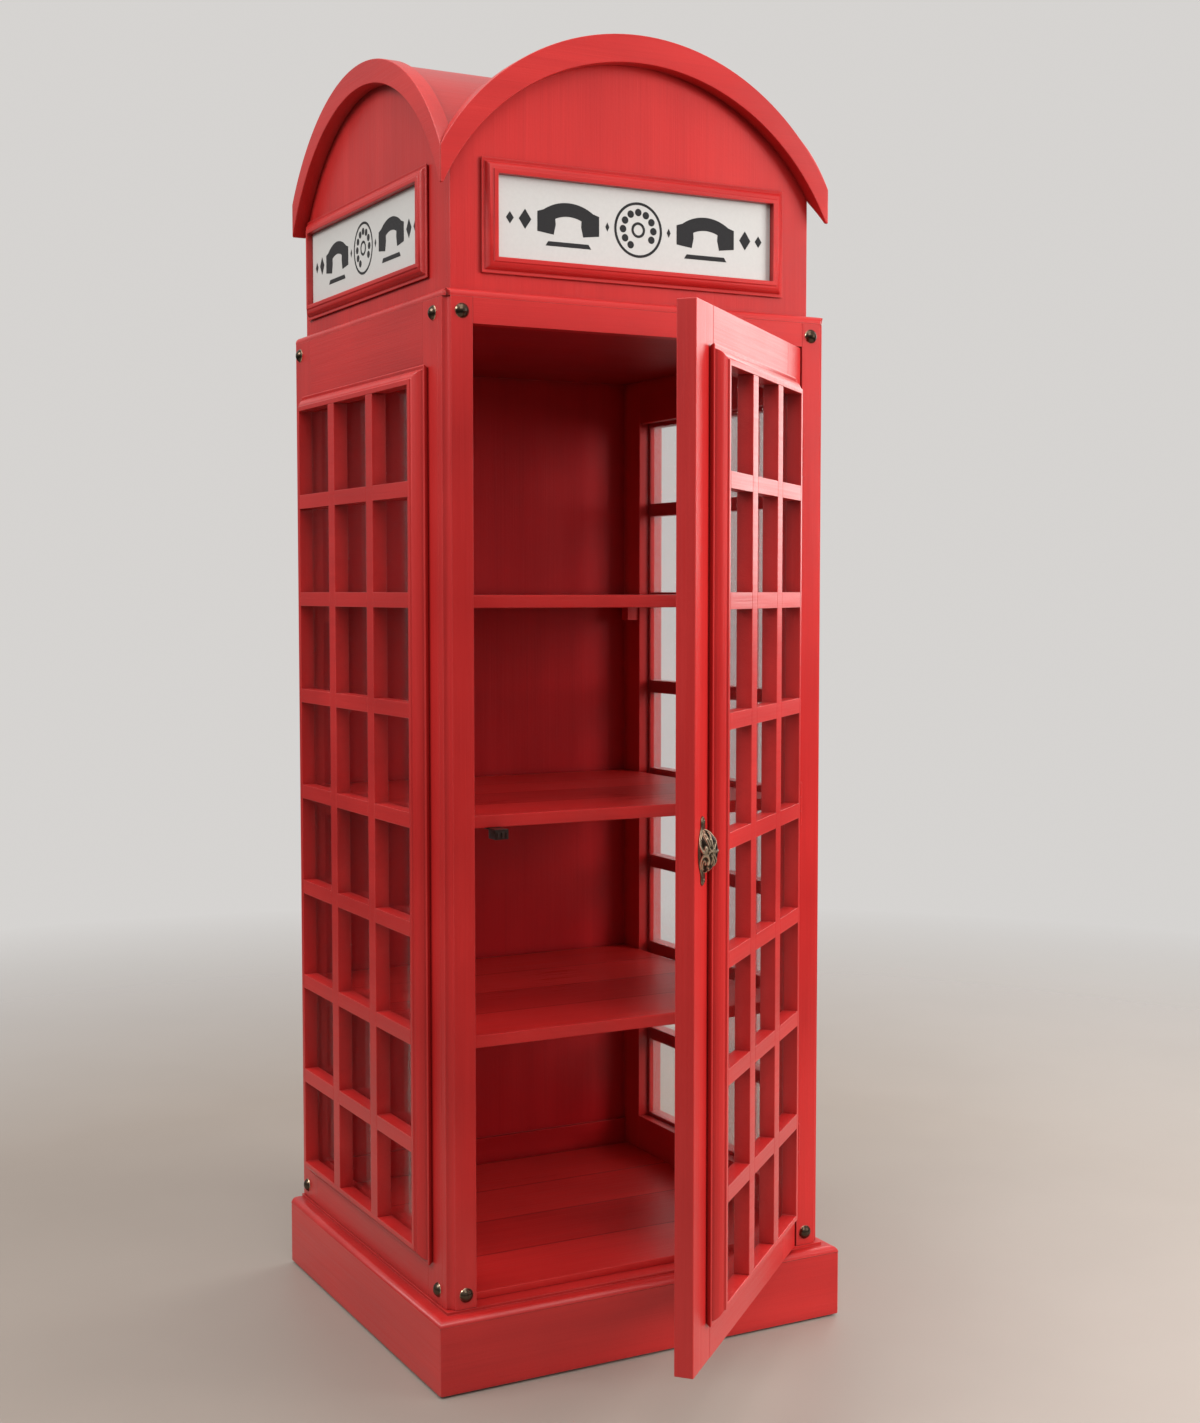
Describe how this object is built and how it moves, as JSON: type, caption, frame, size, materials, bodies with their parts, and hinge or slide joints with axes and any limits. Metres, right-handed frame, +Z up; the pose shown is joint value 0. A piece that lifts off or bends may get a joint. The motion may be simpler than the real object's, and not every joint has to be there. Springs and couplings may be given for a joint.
{
  "type": "telephone booth",
  "caption": "Glazed telephone-booth cabinet with a cross-vaulted roof, arched gables, sign panels, inner shelves and a hinged door standing ajar.",
  "frame": {"origin": "on the floor under the middle of the carcass, which is the cabinet body above the plinth", "axes": "+Z up, -Y out of the front with the door in it, +X to the right seen from the front"},
  "size_m": [0.63, 0.9132, 1.7968],
  "materials": {
    "red_paint": "semi-gloss red paint over wood, faint brush marks",
    "window_glass": "clear sheet glass",
    "sign_white": "matt white paint",
    "antique_bronze": "dark antique bronze, rubbed warm on the high places",
    "hinge_paint": "painted over with the cabinet's red",
    "strike_steel": "brushed, slightly dulled",
    "catch_brown": "moulded brown plastic",
    "glide_felt": "dull black"
  },
  "bodies": {
    "cabinet": {"plinth_front_board": "red_paint", "plinth_left_board": "red_paint", "plinth_right_board": "red_paint", "plinth_cap": "red_paint", "floor_panel": "red_paint", "front_stile_left": "red_paint", "front_stile_right": "red_paint", "front_header": "red_paint", "left_side_front_stile": "red_paint", "left_side_back_stile": "red_paint", "left_side_top_rail": "red_paint", "left_side_bottom_rail": "red_paint", "right_side_front_stile": "red_paint", "right_side_back_stile": "red_paint", "right_side_top_rail": "red_paint", "right_side_bottom_rail": "red_paint", "left_window_bars": "red_paint", "right_window_bars": "red_paint", "left_window_moulding": "red_paint", "right_window_moulding": "red_paint", "back_panel": "red_paint", "back_bottom_rail": "red_paint", "ceiling_panel": "red_paint", "shelf_upper": "red_paint", "shelf_middle": "red_paint", "shelf_lower": "red_paint", "shelf_supports": "red_paint", "body_top_moulding": "red_paint", "head_front_board": "red_paint", "head_left_board": "red_paint", "head_right_board": "red_paint", "head_back_board": "red_paint", "sign_frame_front": "red_paint", "sign_frame_left": "red_paint", "sign_frame_right": "red_paint", "arch_front": "red_paint", "arch_left": "red_paint", "arch_right": "red_paint", "roof_vault": "red_paint", "left_window_glass": "window_glass", "right_window_glass": "window_glass", "sign_panel_front": "sign_white", "sign_panel_left": "sign_white", "sign_panel_right": "sign_white", "corner_studs": "antique_bronze", "hinge_frame_leaves": "hinge_paint", "hinge_pins": "hinge_paint", "magnetic_catch": "catch_brown", "floor_glides": "glide_felt"},
    "door": {"door_lock_stile": "red_paint", "door_hinge_stile": "red_paint", "door_top_rail": "red_paint", "door_bottom_rail": "red_paint", "door_window_moulding": "red_paint", "door_window_bars": "red_paint", "door_glass": "window_glass", "door_pull": "antique_bronze", "door_pull_screws": "antique_bronze", "hinge_door_leaves": "hinge_paint", "catch_strike_plate": "strike_steel"}
  },
  "joints": [
    {"name": "door_hinge", "type": "hinge", "parent": "cabinet", "child": "door", "pos_m": [0.2525, -0.2907, 0.753], "axis": [0, 0, 1], "range_deg": [-42.2, 60]}
  ]
}
